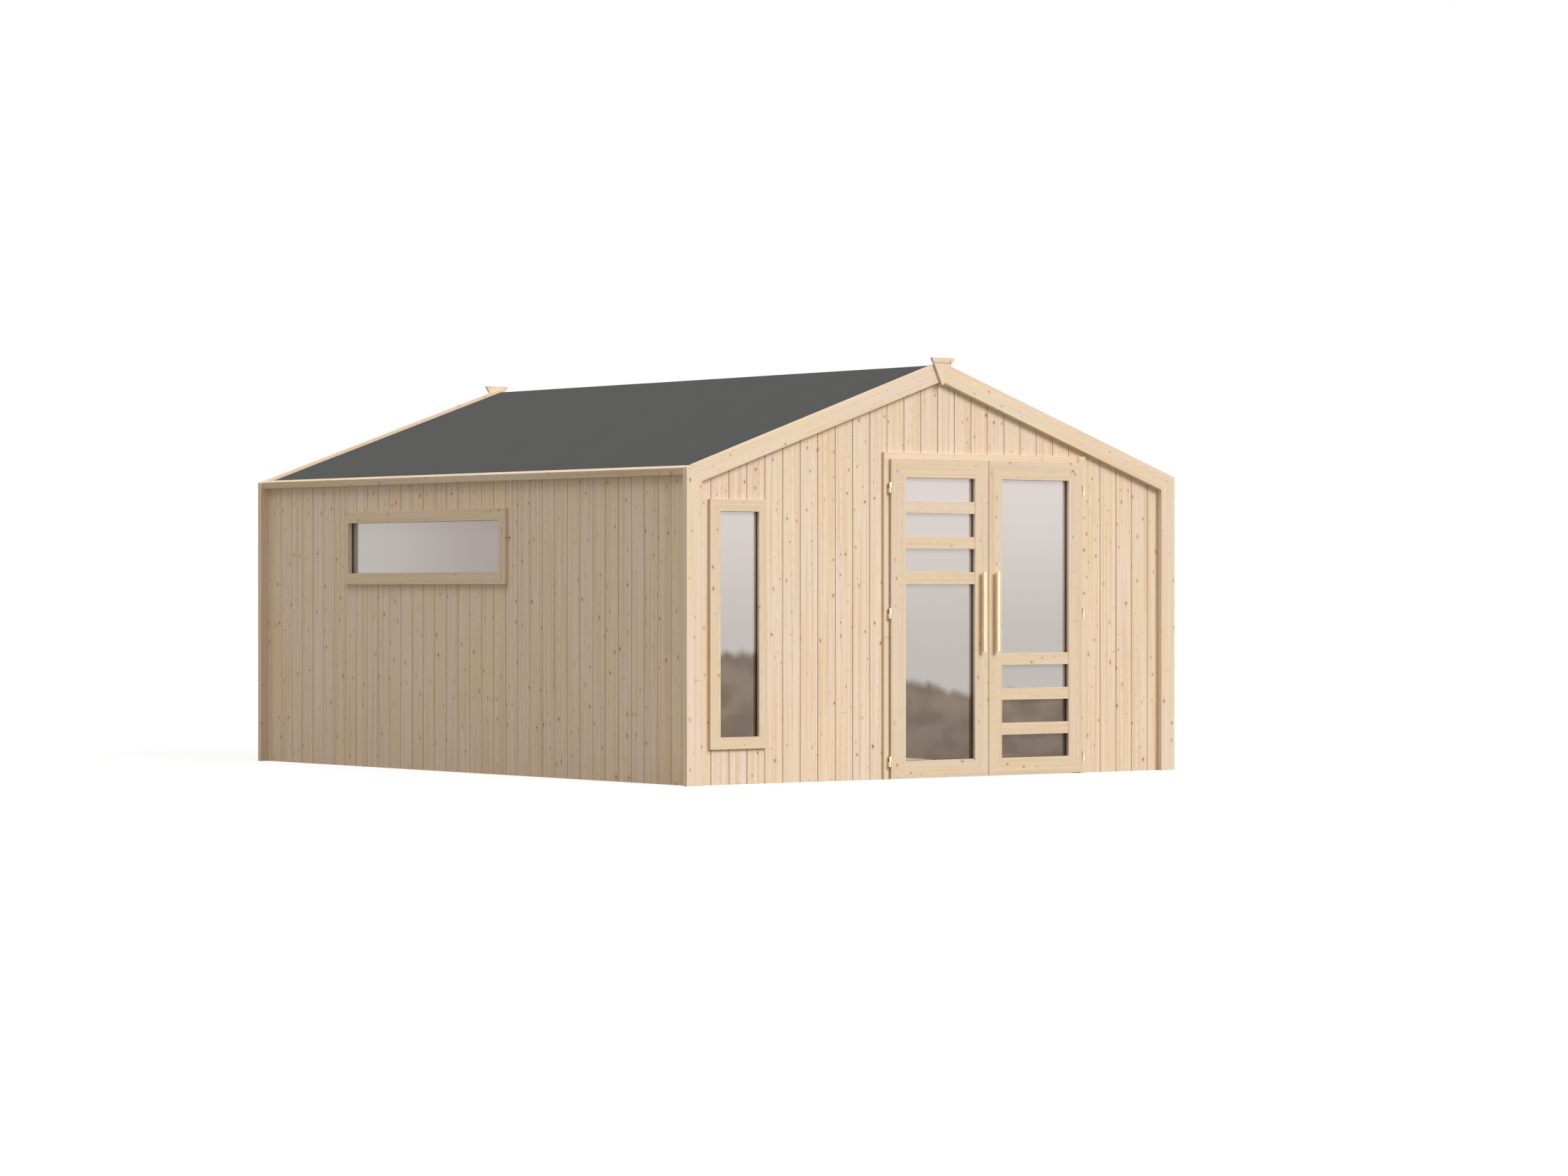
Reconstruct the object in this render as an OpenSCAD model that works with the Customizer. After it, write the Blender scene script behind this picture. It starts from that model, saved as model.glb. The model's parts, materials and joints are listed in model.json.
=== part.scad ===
// Garden shed, 4 x 5 m, with a gable roof, a glazed double door and two fixed windows.
// Millimetres, +Z up. The front faces -Y. X = 0 is the middle of the front.
// Inside the modules Y = 0 is the face of the front posts; shift_y then centres the whole shed.

/* [Shed] */
// Width over the front posts
shed_w = 4000; // [3600:50:4600]
// Length from the face of the front frame to the face of the rear frame
shed_l = 5000; // [4400:50:6000]
// Height of the outer top corner of the posts
eaves_h = 1928; // [1900:1:2100]
// Pitch of the roof in degrees
pitch = 19.3; // [17:0.1:24]

/* [Frames on the gables] */
// Thickness of the posts and barge boards
trim_t = 40; // [30:1:45]
// Width of the posts and barge boards
trim_w = 118; // [95:1:140]
// How far the frames stand out past the side walls
trim_out = 60; // [50:1:80]

/* [Walls] */
// Thickness of the cladding boards
clad_t = 19; // [16:1:28]
// Side of the square studs and rails
stud = 45; // [38:1:58]
// Height of the middle rails
mid_rail_z = 950; // [700:10:1000]

/* [Roof] */
// Thickness of the roof boards
deck_t = 18; // [15:1:22]
// Thickness of the felt
felt_t = 3; // [2:0.5:5]
// How far the felt lies below the top edge of the barge boards
felt_drop = 18; // [8:1:25]
// Side of the square batten along each eaves
batten = 45; // [38:1:48]

/* [Double door] */
// Middle of the doorway
door_x = 390.7; // [0:0.1:500]
// Width of one leaf
leaf_w = 796; // [700:1:850]
// Thickness of a leaf
leaf_t = 42; // [38:1:46]
// Height of the top of the leaves
leaf_top = 2009; // [1950:1:2030]
// Gap under the leaves
leaf_foot = 6; // [5:1:20]
// Gap between the two leaves
leaf_gap = 5.5; // [5.5:0.5:10]
// Gap between the rebated edge of a leaf and its jamb
jamb_gap = 6; // [6:0.5:10]
// Width of the lip with which a leaf laps over its jamb
lip_w = 12; // [12:1:18]
// Thickness of that lip
lip_t = 14; // [12:0.5:14]
// Width of the outer stiles, which carry the hinges
outer_stile = 119; // [100:1:130]
// Width of the stiles where the leaves meet
inner_stile = 110; // [100:1:130]
// Width of the top rail of a leaf
top_rail = 117; // [100:1:130]
// Height of the lower edge of the glass
glass_foot = 114; // [100:1:140]
// Depth of the glass behind the face of a leaf
glass_in = 30; // [24:1:32]
// Width of the crossbars
bar_w = 76; // [50:1:90]
// Clear height of the small panes between the crossbars
bar_gap = 147; // [120:1:170]

/* [Windows] */
// Left edge of the glass in the front window
front_glass_x = -1730; // [-1740:1:-1700]
// Width of that glass
front_glass_w = 295; // [250:1:400]
// Height of its lower edge
front_glass_z = 290; // [250:1:400]
// Height of that glass
front_glass_h = 1376; // [1200:1:1400]
// Near edge of the glass in the side window
side_glass_y = 2091; // [1800:1:2200]
// Length of that glass
side_glass_l = 1799; // [1500:1:1900]
// Height of its lower edge
side_glass_z = 1297; // [1200:1:1320]
// Height of that glass
side_glass_h = 338; // [280:1:360]
// Thickness of every pane
pane_t = 4; // [3:0.5:6]

/* [Handles and hinges] */
// Length of a bar handle
handle_l = 506; // [300:1:600]
// Radius of a bar handle
handle_r = 14; // [10:0.5:15]
// Distance from the face of a leaf to the middle of its handle
handle_out = 29; // [26:1:40]
// Length of a hinge barrel
barrel_l = 65; // [50:1:80]
// Radius of a hinge barrel
barrel_r = 6.8; // [6:0.1:8]

/* [Hidden] */
$fn = 48;

// Colours
spruce = "BurlyWood";
rough_spruce = "Tan";
felt_grey = "DimGray";
brass = "Goldenrod";
pane_grey = "LightSteelBlue";

// Planes of the walls
half_w = shed_w / 2;
side_out = half_w - trim_out;
side_in = side_out - clad_t;
front_out = trim_t;
front_in = front_out + clad_t;
rear_out = shed_l - trim_t;
rear_in = rear_out - clad_t;

// Layers of the roof, measured square to the slope below the top edge of the barge boards
deck_top = felt_drop + felt_t;
deck_low = deck_top + deck_t;
batten_drop = 3;
batten_in = 8;
deck_edge = batten_in + batten;

// Height of a plane of the roof at x, lying depth below the barge boards' top edge
function roof_z(x, depth = 0) = eaves_h + (half_w - abs(x)) * tan(pitch) - depth / cos(pitch);
// A point in the left slope: u runs up the slope from the eaves corner, v is square to it
function slope_pt(u, v) = [-half_w + u * cos(pitch) - v * sin(pitch),
    eaves_h + u * sin(pitch) + v * cos(pitch)];

wall_top = slope_pt(deck_edge, -deck_low)[1];
post_top = wall_top - stud;

// Ridge beam and purlins
beam_w = 45;
beam_h = 120;
purlin_h = 95;
beam_top = roof_z(beam_w / 2, deck_low);
beam_foot = beam_top - beam_h;
purlin_u = (deck_edge + half_w / cos(pitch)) / 2;

// Doorway
leaf_x0 = door_x - leaf_gap / 2 - leaf_w;
casing_w = 42;
jamb_in = leaf_gap / 2 + leaf_w - lip_w + jamb_gap;
jamb_out = leaf_gap / 2 + leaf_w + casing_w;
casing_y = 20;
lining_y = front_in + stud;
stop_y = leaf_t + 6;
stop_w = 18;
head_z = leaf_top - lip_w + jamb_gap;
head_top = leaf_top + casing_w;
meeting_bevel = 1.5;
foot_rail_h = 68;

// Window casings: widths on the near, far, lower and upper sides, and the lining behind them
front_casing = [78, 61, 73, 74];
side_casing = [83, 49, 75, 78];
casing_out = 22;
lining_t = 25;
lining_d = 45;
front_pane_in = 29;
side_pane_in = 40;
window_stud_x = front_glass_x + front_glass_w + lining_t;
stud_near_y = side_glass_y - lining_t - stud;
stud_far_y = side_glass_y + side_glass_l + lining_t;
rear_stud_x = 960;

// Handles and hinges
handle_z = 1048;
handle_side = 54;
standoff_gap = 283;
standoff_lift = 11;
standoff_r = 9.5;
pin_out = 9;
pin_r = 3;
pin_clear = 0.05;
hinge_zs = [111, 1040, 1827];
knuckle_gap = 0.5;
plate_t = 2;
plate_l = 13;
plate_w = 7;
web_t = 3;

// Ornament on each ridge end
cap_w = 186;
cap_foot_w = 160;
cap_top = 2652;
cap_h = 31;
cap_t = 20;
shield_w = 148;
shield_tip_w = 12;
shield_h = 140;
shield_t = 16;

// The whole shed lies centred on the origin from the handles to the rear ornament
shift_y = (handle_out + handle_r - shed_l - cap_t) / 2;

module place() translate([0, shift_y, 0]) children();

// A flat shape in X and Z, as thick as the distance from y0 to y1
module upright(y0, y1) translate([0, y1, 0]) rotate([90, 0, 0]) linear_extrude(y1 - y0) children();

// A box from its lowest corner to its highest
module block(low, high) translate(low) cube(high - low);

// A profile given for the left, or mirrored to the right
module on_side(right) mirror([right ? 1 : 0, 0, 0]) children();

// Turns the front into the rear
module to_rear() translate([0, shed_l, 0]) mirror([0, 1, 0]) children();

// ---- Walls ----
module gable_outline(x0, x1, z0) {
    ridge = x0 < 0 && x1 > 0 ? [[0, roof_z(0, deck_low)]] : [];
    polygon(concat([[x0, z0], [x1, z0], [x1, roof_z(x1, deck_low)]], ridge,
        [[x0, roof_z(x0, deck_low)]]));
}

module front_wall_left() color(spruce) place() upright(front_out, front_in) difference() {
    gable_outline(-side_in, door_x - jamb_out, 0);
    translate([front_glass_x - lining_t, front_glass_z - lining_t])
        square([front_glass_w + 2 * lining_t, front_glass_h + 2 * lining_t]);
}

module front_wall_right() color(spruce) place() upright(front_out, front_in)
    gable_outline(door_x + jamb_out, side_in, 0);

module front_wall_gable() color(spruce) place() upright(front_out, front_in)
    gable_outline(door_x - jamb_out, door_x + jamb_out, head_top);

module rear_wall() color(spruce) place() upright(rear_in, rear_out)
    gable_outline(-side_in, side_in, 0);

module side_wall() block([-side_out, front_out, 0], [-side_in, rear_out, wall_top]);

module left_wall() color(spruce) place() difference() {
    side_wall();
    translate([-side_out - 1, side_glass_y - lining_t, side_glass_z - lining_t])
        cube([clad_t + 2, side_glass_l + 2 * lining_t, side_glass_h + 2 * lining_t]);
}

module right_wall() color(spruce) place() on_side(true) side_wall();

// ---- Frames on the gables ----
inner_corner = [-half_w + trim_w, roof_z(half_w - trim_w, trim_w)];

module post() upright(0, trim_t) polygon([[-half_w, 0], [-half_w + trim_w, 0], inner_corner,
    [-half_w, eaves_h]]);

module barge() upright(0, trim_t) polygon([[-half_w, eaves_h], inner_corner,
    [0, roof_z(0, trim_w)], [0, roof_z(0)]]);

module front_left_post() color(spruce) place() post();
module front_right_post() color(spruce) place() on_side(true) post();
module rear_left_post() color(spruce) place() to_rear() post();
module rear_right_post() color(spruce) place() to_rear() on_side(true) post();
module front_left_barge() color(spruce) place() barge();
module front_right_barge() color(spruce) place() on_side(true) barge();
module rear_left_barge() color(spruce) place() to_rear() barge();
module rear_right_barge() color(spruce) place() to_rear() on_side(true) barge();

// A tapering shield under a wider cap, fixed to the face where the barge boards meet
module finial() {
    upright(-shield_t, 0) polygon([[-shield_w / 2, cap_top - cap_h],
        [-shield_tip_w / 2, cap_top - cap_h - shield_h],
        [shield_tip_w / 2, cap_top - cap_h - shield_h], [shield_w / 2, cap_top - cap_h]]);
    upright(-cap_t, 0) polygon([[-cap_w / 2, cap_top], [-cap_foot_w / 2, cap_top - cap_h],
        [cap_foot_w / 2, cap_top - cap_h], [cap_w / 2, cap_top]]);
}

module front_finial() color(spruce) place() finial();
module rear_finial() color(spruce) place() to_rear() finial();

// ---- Roof ----
// The batten's back is bevelled to lie against the side wall
module eaves_batten() {
    low = batten_drop + batten;
    wall_u = (trim_out - low * sin(pitch)) / cos(pitch);
    wall_v = (trim_out - deck_edge * cos(pitch)) / sin(pitch);
    upright(trim_t, shed_l - trim_t) polygon([slope_pt(batten_in, -batten_drop),
        slope_pt(deck_edge, -batten_drop), slope_pt(deck_edge, -wall_v),
        slope_pt(wall_u, -low), slope_pt(batten_in, -low)]);
}

module roof_layer(top, low) upright(trim_t, shed_l - trim_t) polygon([slope_pt(deck_edge, -low),
    slope_pt(deck_edge, -top), [0, roof_z(0, top)], [0, roof_z(0, low)]]);

module left_eaves_batten() color(spruce) place() eaves_batten();
module right_eaves_batten() color(spruce) place() on_side(true) eaves_batten();
module left_roof_boards() color(rough_spruce) place() roof_layer(deck_top, deck_low);
module right_roof_boards() color(rough_spruce) place() on_side(true)
    roof_layer(deck_top, deck_low);

module roof_felt() color(felt_grey) place() for (right = [false, true])
    on_side(right) roof_layer(felt_drop, deck_top);

module roof_beams() color(rough_spruce) place() {
    block([-beam_w / 2, front_in, beam_foot], [beam_w / 2, rear_in, beam_top]);
    for (right = [false, true]) on_side(right) upright(front_in, rear_in)
        polygon([slope_pt(purlin_u - beam_w / 2, -deck_low),
            slope_pt(purlin_u + beam_w / 2, -deck_low),
            slope_pt(purlin_u + beam_w / 2, -deck_low - purlin_h),
            slope_pt(purlin_u - beam_w / 2, -deck_low - purlin_h)]);
}

// ---- Studs and rails inside the walls ----
module wall_studs() color(rough_spruce) place() {
    for (side = [-1, 1]) {
        x = side * (side_in - stud / 2);
        for (y = [front_in, rear_in - stud])
            block([x - stud / 2, y, 0], [x + stud / 2, y + stud, post_top]);
        for (y = [stud_near_y, stud_far_y])
            block([x - stud / 2, y, foot_rail_h], [x + stud / 2, y + stud, post_top]);
        door_side = door_x + side * (jamb_out + stud / 2);
        block([door_side - stud / 2, front_in, 0], [door_side + stud / 2, lining_y, head_top]);
        block([side * rear_stud_x - stud / 2, rear_in - stud, foot_rail_h],
            [side * rear_stud_x + stud / 2, rear_in, post_top - stud]);
    }
    block([window_stud_x, front_in, foot_rail_h],
        [window_stud_x + stud, lining_y, post_top - stud]);
    block([-stud / 2, front_in, head_top + stud], [stud / 2, lining_y, beam_foot]);
    block([-stud / 2, rear_in - stud, foot_rail_h], [stud / 2, rear_in, beam_foot]);
}

module side_wall_rails() color(rough_spruce) place() for (right = [false, true]) on_side(right) {
    x0 = -side_in;
    x1 = -side_in + stud;
    block([x0, lining_y, 0], [x1, rear_in - stud, foot_rail_h]);
    block([x0, front_in, post_top], [x1, rear_in, wall_top]);
    for (run = [[lining_y, stud_near_y], [stud_near_y + stud, stud_far_y],
            [stud_far_y + stud, rear_in - stud]])
        block([x0, run[0], mid_rail_z], [x1, run[1], mid_rail_z + stud]);
}

// One rail along a gable wall, from x0 to x1 at height z
module gable_rail(x0, x1, z, h = stud) block([x0, front_in, z], [x1, lining_y, z + h]);

module rear_wall_rails() color(rough_spruce) place() to_rear() {
    post_in = side_in - stud;
    for (side = [-1, 1]) {
        mid_run = [side * (stud / 2), side * (rear_stud_x - stud / 2)];
        end_run = [side * (rear_stud_x + stud / 2), side * post_in];
        gable_rail(min(mid_run), max(mid_run), mid_rail_z);
        gable_rail(min(end_run), max(end_run), mid_rail_z);
        top_run = [side * (stud / 2), side * post_in];
        gable_rail(min(top_run), max(top_run), post_top - stud);
    }
    gable_rail(-post_in, post_in, 0, foot_rail_h);
}

module front_wall_rails() color(rough_spruce) place() {
    left_end = door_x - jamb_out - stud;
    right_end = door_x + jamb_out + stud;
    post_in = side_in - stud;
    for (rail = [[0, foot_rail_h], [post_top - stud, stud]]) {
        gable_rail(-post_in, left_end, rail[0], rail[1]);
        gable_rail(right_end, post_in, rail[0], rail[1]);
    }
    gable_rail(window_stud_x + stud, left_end, mid_rail_z);
    gable_rail(right_end, post_in, mid_rail_z);
    gable_rail(left_end, right_end, head_top);
}

// ---- Doorway ----
// A jamb with a stop behind the leaf; side is -1 for the left and 1 for the right
module door_jamb(side) {
    xs = [door_x + side * jamb_in, door_x + side * jamb_out];
    block([min(xs), casing_y, 0], [max(xs), lining_y, head_z]);
    stop_xs = [door_x + side * (jamb_in - stop_w), door_x + side * jamb_in];
    block([min(stop_xs), stop_y, 0], [max(stop_xs), lining_y, head_z - stop_w]);
}

module door_jamb_left() color(spruce) place() door_jamb(-1);
module door_jamb_right() color(spruce) place() door_jamb(1);

module door_head() color(spruce) place() {
    block([door_x - jamb_out, casing_y, head_z], [door_x + jamb_out, lining_y, head_top]);
    block([door_x - jamb_in, stop_y, head_z - stop_w], [door_x + jamb_in, lining_y, head_z]);
}

// ---- Windows ----
// A flat frame round glass of w by h at the origin, between the depths y0 and y1, where the
// face of the wall is at 0. edge gives its widths on the near, far, lower and upper sides.
module window_frame(w, h, edge, y0, y1) difference() {
    block([-edge[0], y0, -edge[2]], [w + edge[1], y1, h + edge[3]]);
    block([0, y0 - 1, 0], [w, y1 + 1, h]);
}

module window_lining(w, h) window_frame(w, h, [for (i = [1 : 4]) lining_t], 0, lining_d);

// Puts the front window, or the side window seen from outside, at its place in the wall
module at_front_window() translate([front_glass_x, front_out, front_glass_z]) children();
module at_side_window() translate([-side_out, side_glass_y, side_glass_z]) rotate([0, 0, 90])
    mirror([0, 1, 0]) children();

module window_linings() color(spruce) place() {
    at_front_window() window_lining(front_glass_w, front_glass_h);
    at_side_window() window_lining(side_glass_l, side_glass_h);
}

module front_window_frame() color(spruce) place() at_front_window()
    window_frame(front_glass_w, front_glass_h, front_casing, -casing_out, 0);

module front_window_glass() color(pane_grey) place() at_front_window()
    translate([0, front_pane_in - casing_out, 0]) cube([front_glass_w, pane_t, front_glass_h]);

module side_window_frame() color(spruce) place() at_side_window()
    window_frame(side_glass_l, side_glass_h, side_casing, -casing_out, 0);

module side_window_glass() color(pane_grey) place() at_side_window()
    translate([0, side_pane_in - casing_out, 0]) cube([side_glass_l, pane_t, side_glass_h]);

// ---- Door leaves, drawn as the left one with its outer edge at x = 0 ----
module at_leaf(right) translate([door_x, 0, 0]) on_side(right)
    translate([leaf_x0 - door_x, 0, 0]) children();

glass_w = leaf_w - outer_stile - inner_stile;
glass_top = leaf_top - top_rail;

// The body of a leaf is set back behind a lip at its top and outer edge. The edge at the
// meeting of the leaves is bevelled, so that one swings past the other.
module leaf_plan(outer) translate([0, 0, leaf_foot]) linear_extrude(leaf_top - leaf_foot - outer)
    polygon([[outer, 0], [leaf_w, 0], [leaf_w - meeting_bevel, leaf_t], [outer, leaf_t]]);

// The glazed opening, and a recess in the edge for each hinge plate
module leaf_frame() difference() {
    union() {
        leaf_plan(lip_w);
        intersection() {
            leaf_plan(0);
            block([0, 0, leaf_foot], [leaf_w, lip_t, leaf_top]);
        }
    }
    block([outer_stile, -1, glass_foot], [outer_stile + glass_w, leaf_t + 1, glass_top]);
    for (z = hinge_zs)
        block([-1, -1, z - barrel_l / 2], [plate_t, plate_l, z + barrel_l / 2]);
}

bar_y = 3;
// Three crossbars, counted down from the top of the glass or up from its foot
module leaf_bars(from_top) for (i = [1 : 3]) {
    rise = i * bar_gap + (i - 1) * bar_w;
    z = from_top ? glass_top - rise - bar_w : glass_foot + rise;
    block([outer_stile, bar_y, z], [outer_stile + glass_w, glass_in, z + bar_w]);
}

module leaf_glass() block([outer_stile, glass_in, glass_foot],
    [outer_stile + glass_w, glass_in + pane_t, glass_top]);

module leaf_handle() {
    x = leaf_w - handle_side;
    translate([x, -handle_out, handle_z - handle_l / 2]) cylinder(r = handle_r, h = handle_l);
    for (side = [-1, 1])
        translate([x, 0, handle_z + standoff_lift + side * standoff_gap / 2]) rotate([90, 0, 0])
            cylinder(r = standoff_r, h = handle_out);
}

// The knuckle that turns with the leaf, bored for the pin, and the plate let into its edge
module leaf_hinges() for (z = hinge_zs) difference() {
    union() {
        translate([-pin_out, 0, z + knuckle_gap / 2])
            cylinder(r = barrel_r, h = (barrel_l - knuckle_gap) / 2);
        block([-pin_out, -barrel_r, z + knuckle_gap / 2],
            [plate_t, web_t - barrel_r, z + barrel_l / 2]);
        block([0, -barrel_r, z - barrel_l / 2], [plate_t, plate_l, z + barrel_l / 2]);
    }
    translate([-pin_out, 0, z]) cylinder(r = pin_r + pin_clear, h = barrel_l / 2 + 1);
}

// The knuckle and pin that stay on the casing, and the plate that carries them
module fixed_hinge(z) {
    translate([-pin_out, 0, z - barrel_l / 2])
        cylinder(r = barrel_r, h = (barrel_l - knuckle_gap) / 2);
    translate([-pin_out, 0, z - barrel_l / 2]) cylinder(r = pin_r, h = barrel_l);
    block([-pin_out - barrel_r, 0, z - barrel_l / 2],
        [-pin_out - barrel_r + web_t, casing_y, z - knuckle_gap / 2]);
    block([-pin_out - barrel_r, casing_y - plate_t, z - barrel_l / 2],
        [-pin_out - barrel_r + web_t + plate_w, casing_y, z + barrel_l / 2]);
}

module hinge_plates() color(brass) place() for (right = [false, true], z = hinge_zs)
    at_leaf(right) fixed_hinge(z);

module left_door_frame() color(spruce) place() at_leaf(false) leaf_frame();
module left_door_bars() color(spruce) place() at_leaf(false) leaf_bars(true);
module left_door_glass() color(pane_grey) place() at_leaf(false) leaf_glass();
module left_door_handle() color(brass) place() at_leaf(false) leaf_handle();
module left_door_hinges() color(brass) place() at_leaf(false) leaf_hinges();
module right_door_frame() color(spruce) place() at_leaf(true) leaf_frame();
module right_door_bars() color(spruce) place() at_leaf(true) leaf_bars(false);
module right_door_glass() color(pane_grey) place() at_leaf(true) leaf_glass();
module right_door_handle() color(brass) place() at_leaf(true) leaf_handle();
module right_door_hinges() color(brass) place() at_leaf(true) leaf_hinges();

front_wall_left();
front_wall_right();
front_wall_gable();
rear_wall();
left_wall();
right_wall();
front_left_post();
front_right_post();
rear_left_post();
rear_right_post();
front_left_barge();
front_right_barge();
rear_left_barge();
rear_right_barge();
front_finial();
rear_finial();
left_eaves_batten();
right_eaves_batten();
left_roof_boards();
right_roof_boards();
roof_felt();
roof_beams();
wall_studs();
side_wall_rails();
rear_wall_rails();
front_wall_rails();
door_jamb_left();
door_jamb_right();
door_head();
window_linings();
front_window_frame();
front_window_glass();
side_window_frame();
side_window_glass();
hinge_plates();
left_door_frame();
left_door_bars();
left_door_glass();
left_door_handle();
left_door_hinges();
right_door_frame();
right_door_bars();
right_door_glass();
right_door_handle();
right_door_hinges();
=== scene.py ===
# %% [markdown]
# # A timber garden shed
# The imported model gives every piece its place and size. This lesson gives each one its real
# surface: grooved boards with their own grain and knots, mitred frames, glass and brass.

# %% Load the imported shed
import bpy
import bmesh
import json
import math
import random
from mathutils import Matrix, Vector


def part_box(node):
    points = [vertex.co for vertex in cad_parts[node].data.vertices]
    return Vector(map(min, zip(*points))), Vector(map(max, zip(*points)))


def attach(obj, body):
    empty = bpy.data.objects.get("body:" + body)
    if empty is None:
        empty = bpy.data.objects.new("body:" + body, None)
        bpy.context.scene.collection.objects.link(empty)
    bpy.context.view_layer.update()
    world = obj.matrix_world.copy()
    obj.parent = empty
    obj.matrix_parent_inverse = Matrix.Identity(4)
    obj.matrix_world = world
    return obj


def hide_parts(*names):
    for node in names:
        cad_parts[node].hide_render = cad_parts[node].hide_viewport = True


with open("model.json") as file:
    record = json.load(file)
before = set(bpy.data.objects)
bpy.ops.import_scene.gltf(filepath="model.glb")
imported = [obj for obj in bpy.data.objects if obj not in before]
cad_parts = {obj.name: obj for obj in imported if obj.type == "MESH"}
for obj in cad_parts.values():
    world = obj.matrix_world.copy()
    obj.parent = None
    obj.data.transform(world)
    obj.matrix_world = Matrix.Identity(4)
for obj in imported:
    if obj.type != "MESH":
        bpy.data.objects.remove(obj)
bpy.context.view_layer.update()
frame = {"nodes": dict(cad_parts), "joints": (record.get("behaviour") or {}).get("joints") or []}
random.seed(19)
print("nodes in the shed:", len(frame["nodes"]))

# %% [markdown]
# ## Reading sizes from the model
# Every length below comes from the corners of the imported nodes, so nothing has to be fitted.
# `levels` lists the planes at which a node has corners. `islands` splits a node into its
# separate solids, because studs and rails share a node.


# %% Measuring helpers
places = 4
touching = 1e-4


def corners(node):
    return {tuple(round(c, places) for c in v.co) for v in frame["nodes"][node].data.vertices}


def levels(node, axis):
    return sorted({p[axis] for p in corners(node)})


def islands(node):
    """The lowest and highest corner of each separate solid in a node."""
    mesh = frame["nodes"][node].data
    keys = [tuple(round(c, places) for c in v.co) for v in mesh.vertices]
    parent = {k: k for k in keys}

    def root(k):
        while parent[k] != k:
            parent[k] = parent[parent[k]]
            k = parent[k]
        return k

    for polygon in mesh.polygons:
        first = root(keys[polygon.vertices[0]])
        for i in polygon.vertices:
            parent[root(keys[i])] = first
    groups = {}
    for k in parent:
        groups.setdefault(root(k), []).append(k)
    found = [(Vector(map(min, zip(*g))), Vector(map(max, zip(*g)))) for g in groups.values()]
    return sorted(found, key=lambda pair: tuple(pair[0]) + tuple(pair[1]))


def outline(node, axis):
    """The convex outline of a prism that runs along an axis, as points on the other two."""
    first, second = [i for i in range(3) if i != axis]
    end = levels(node, axis)[0]
    points = {(p[first], p[second]) for p in corners(node) if p[axis] == end}
    middle = [sum(c) / len(points) for c in zip(*points)]
    return sorted(points, key=lambda p: math.atan2(p[1] - middle[1], p[0] - middle[0]))


post_low, post_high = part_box("front_left_post")
half_width = -post_low.x
eaves = post_high.z
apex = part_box("front_left_barge")[1].z
pitch = math.atan2(apex - eaves, half_width)
print(f"roof pitch {math.degrees(pitch):.1f} degrees, eaves at {eaves:.3f} m")

# %% [markdown]
# ## Shader maths as expressions
# A wood surface is arithmetic on the place of each point in its board. `Wire` wraps one
# socket, so that `1 - mask` or `late * 0.3` adds the Math nodes, and `Finish.node` makes
# every other kind of node.


# %% Wires and finishes
class Wire:
    def __init__(self, finish, node, output):
        self.finish = finish
        self.node = node
        self.socket = node.outputs[output]

    def out(self, output):
        return Wire(self.finish, self.node, output)

    def maths(self, operation, *values):
        sockets = dict(enumerate(values))
        return self.finish.node("ShaderNodeMath", {"operation": operation}, sockets)

    def __add__(self, other):
        return self.maths("ADD", self, other)

    def __radd__(self, other):
        return self.maths("ADD", other, self)

    def __sub__(self, other):
        return self.maths("SUBTRACT", self, other)

    def __rsub__(self, other):
        return self.maths("SUBTRACT", other, self)

    def __mul__(self, other):
        return self.maths("MULTIPLY", self, other)

    def __rmul__(self, other):
        return self.maths("MULTIPLY", other, self)

    def __truediv__(self, other):
        return self.maths("DIVIDE", self, other)

    def __rtruediv__(self, other):
        return self.maths("DIVIDE", other, self)

    def __pow__(self, other):
        return self.maths("POWER", self, other)


class Finish:
    def __init__(self, name, shown):
        self.material = bpy.data.materials.new(name)
        self.material.use_nodes = True
        self.material.diffuse_color = (*shown[:3], 1)
        self.tree = self.material.node_tree
        self.tree.nodes.clear()
        self.output = self.tree.nodes.new("ShaderNodeOutputMaterial")

    def node(self, kind, settings=None, sockets=None, output=0):
        made = self.tree.nodes.new(kind)
        for key, value in (settings or {}).items():
            if key == "stops":
                self.set_stops(made.color_ramp, value)
            else:
                setattr(made, key, value)
        for key, value in (sockets or {}).items():
            if isinstance(value, Wire):
                self.tree.links.new(value.socket, made.inputs[key])
            else:
                made.inputs[key].default_value = value
        return Wire(self, made, output)

    def set_stops(self, ramp, stops):
        while len(ramp.elements) < len(stops):
            ramp.elements.new(1)
        for element, (place, color) in zip(ramp.elements, stops):
            element.position = place
            element.color = color

    def vector(self, x, y, z):
        return self.node("ShaderNodeCombineXYZ", {}, {"X": x, "Y": y, "Z": z})

    def noise(self, place, scale=1.0, detail=2.0, roughness=0.5):
        return self.node("ShaderNodeTexNoise", {}, {"Vector": place, "Scale": scale,
                         "Detail": detail, "Roughness": roughness})

    def ease(self, value, low, high):
        """Rises smoothly from 0 at low to 1 at high."""
        return self.node("ShaderNodeMapRange", {"interpolation_type": "SMOOTHSTEP"},
                         {"Value": value, "From Min": low, "From Max": high})

    def mix(self, factor, first, second):
        return self.node("ShaderNodeMix", {"data_type": "RGBA"}, {0: factor, 6: first, 7: second},
                         output=2)

    def surface(self, shader):
        self.tree.links.new(shader.socket, self.output.inputs["Surface"])
        return self.material


def paint(red, green, blue):
    """A screen colour, 0 to 255, as the linear colour that shaders take."""
    def linear(value):
        value /= 255
        return value / 12.92 if value <= 0.04045 else ((value + 0.055) / 1.055) ** 2.4

    return (linear(red), linear(green), linear(blue), 1)


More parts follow.
